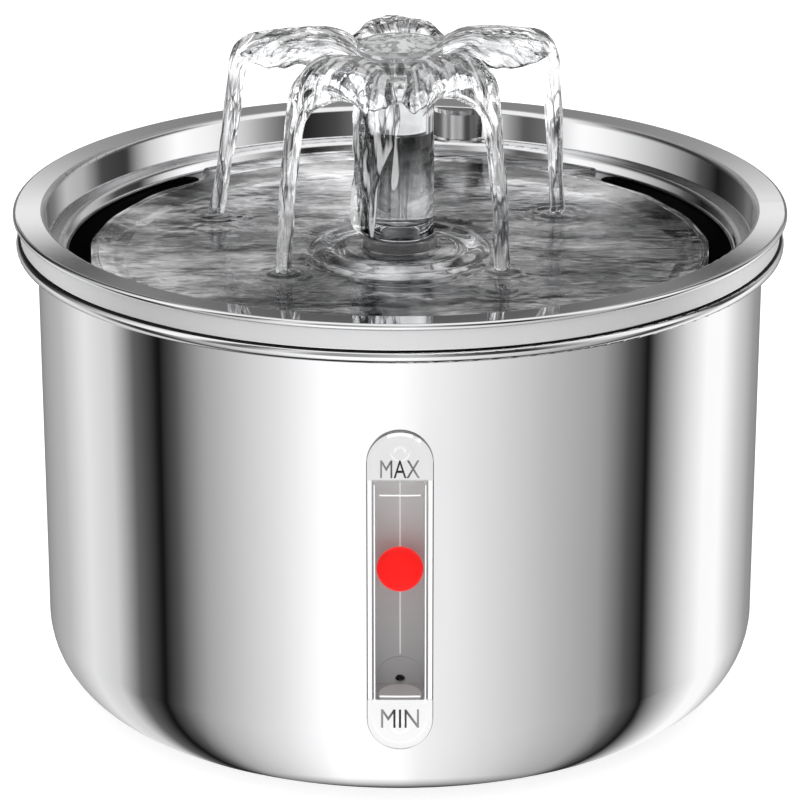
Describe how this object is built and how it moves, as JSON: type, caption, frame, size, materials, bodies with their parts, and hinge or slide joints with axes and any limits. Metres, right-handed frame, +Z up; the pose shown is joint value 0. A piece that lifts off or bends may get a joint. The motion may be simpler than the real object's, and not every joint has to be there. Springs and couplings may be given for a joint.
{
  "type": "pet water fountain",
  "caption": "Round steel drinking fountain for pets: deep bowl with level window and float, drained tray, clear riser with a flower nozzle, submersible pump in a filter housing.",
  "frame": {"origin": "on the table, at the axis of the bowl", "axes": "+Z up, -Y towards the level window (the front), +X to the right as seen from the front"},
  "size_m": [0.2, 0.2, 0.1757],
  "materials": {
    "steel": "mirror polished stainless sheet",
    "clear_plastic": "clear moulded plastic",
    "red_float": "glossy red",
    "silicone": "soft matte silicone",
    "white_plastic": "satin moulded plastic",
    "filter_media": "carbon and resin grains in fleece",
    "foam": "open cell foam",
    "pump_plastic": "black moulded plastic",
    "impeller_plastic": "moulded plastic",
    "lamination": "stacked steel sheets",
    "winding": "enamelled copper wire",
    "ferrite": "sintered ferrite",
    "shaft_ceramic": "ground ceramic",
    "bush_plastic": "filled plastic",
    "screw_steel": "plain steel"
  },
  "bodies": {
    "bowl_unit": {"bowl": "steel", "anti_slip_ring": "silicone", "window_lens": "clear_plastic", "window_gasket": "silicone", "gauge_chamber": "clear_plastic", "gauge_screws": "screw_steel", "suction_cups": "silicone", "filter_base": "white_plastic", "intake_foam": "foam", "pump_body": "pump_plastic", "pump_outlet": "pump_plastic", "pump_feet": "silicone", "pump_back_cover": "pump_plastic", "cable_gland": "silicone", "stator_core": "lamination", "stator_coil": "winding", "pump_cover": "pump_plastic", "impeller_shaft": "shaft_ceramic", "front_bush": "bush_plastic", "rear_bush": "bush_plastic", "intake_grille": "pump_plastic", "outlet_adapter": "pump_plastic"},
    "float": {"float_ball": "red_float"},
    "tray_unit": {"tray": "steel", "tray_collar": "silicone"},
    "riser": {"riser_tube": "clear_plastic", "riser_ring": "silicone"},
    "flower_head": {"flower_nozzle": "clear_plastic", "nozzle_cap": "clear_plastic"},
    "lid": {"filter_lid": "white_plastic", "lid_grid": "white_plastic", "lid_sleeve": "white_plastic"},
    "cartridge": {"cartridge_shell": "white_plastic", "cartridge_core": "white_plastic", "cartridge_media": "filter_media", "cartridge_cover": "white_plastic"},
    "rotor": {"rotor_magnet": "ferrite", "impeller": "impeller_plastic"},
    "dial": {"flow_dial": "pump_plastic"}
  },
  "joints": [
    {"name": "tray_lift", "type": "slide", "parent": "bowl_unit", "child": "tray_unit", "axis": [0, 0, 1], "range_m": [0, 0.065]},
    {"name": "riser_lift", "type": "slide", "parent": "tray_unit", "child": "riser", "axis": [0, 0, 1], "range_m": [0, 0.062]},
    {"name": "nozzle_lift", "type": "slide", "parent": "riser", "child": "flower_head", "axis": [0, 0, 1], "range_m": [0, 0.012]},
    {"name": "float_rise", "type": "slide", "parent": "bowl_unit", "child": "float", "axis": [0, 0, 1], "range_m": [-0.027, 0.019]},
    {"name": "rotor_spin", "type": "hinge", "parent": "bowl_unit", "child": "rotor", "pos_m": [0, 0, 0.024], "axis": [0, 1, 0], "continuous": true},
    {"name": "dial_turn", "type": "hinge", "parent": "bowl_unit", "child": "dial", "pos_m": [0, -0.019, 0.024], "axis": [0, 1, 0], "range_deg": [0, 85]},
    {"name": "lid_turn", "type": "hinge", "parent": "bowl_unit", "child": "lid", "pos_m": [0, 0, 0.04], "axis": [0, 0, 1], "range_deg": [0, 20]},
    {"name": "cartridge_lift", "type": "slide", "parent": "lid", "child": "cartridge", "axis": [0, 0, 1], "range_m": [0, 0.03]}
  ]
}
